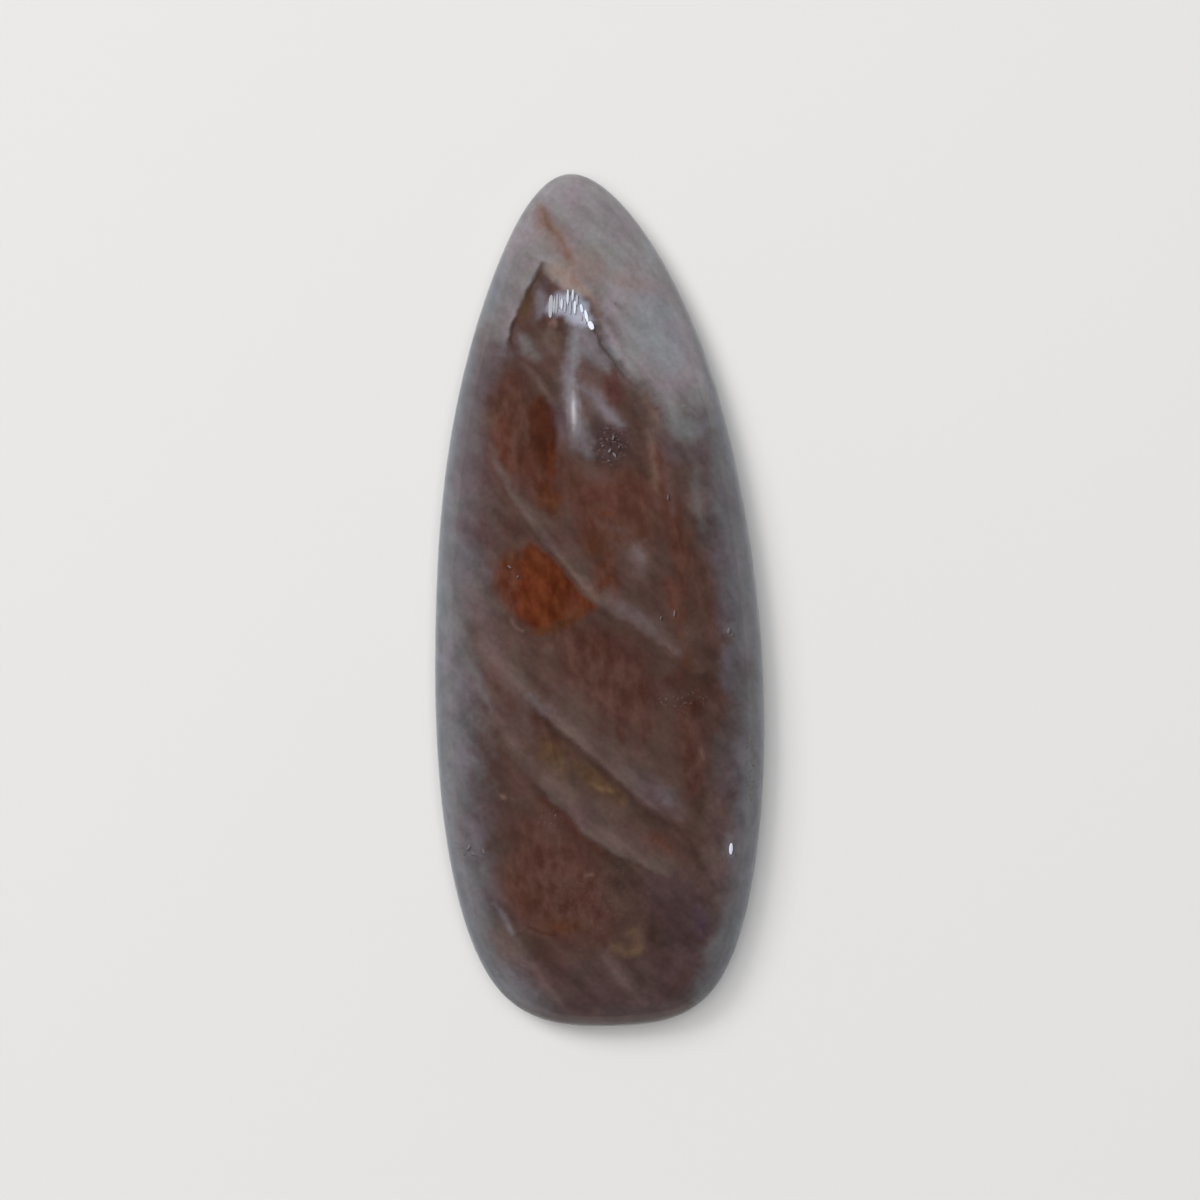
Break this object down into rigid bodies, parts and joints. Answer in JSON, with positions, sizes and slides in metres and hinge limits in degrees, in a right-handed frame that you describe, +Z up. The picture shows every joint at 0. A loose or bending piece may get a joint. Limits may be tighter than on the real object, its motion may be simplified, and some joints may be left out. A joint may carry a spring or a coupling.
{
  "type": "teardrop cabochon",
  "caption": "Polished teardrop cabochon of hematoid quartz, domed on top and flat on the back, to lie on a surface or be set in jewellery.",
  "frame": {"origin": "middle of the flat back, at the height the stone rests on", "axes": "+Z up, out of the dome; +Y along the stone's length towards the pointed end; +X to the right when the stone is seen from above with its point up"},
  "size_m": [0.0192, 0.05, 0.0062],
  "materials": {
    "hematoid_quartz": "polished, see-through outside with clouded rust red, ochre and lilac grey inside"
  },
  "bodies": {
    "root": {"hematoid_quartz": "hematoid_quartz"}
  },
  "joints": []
}
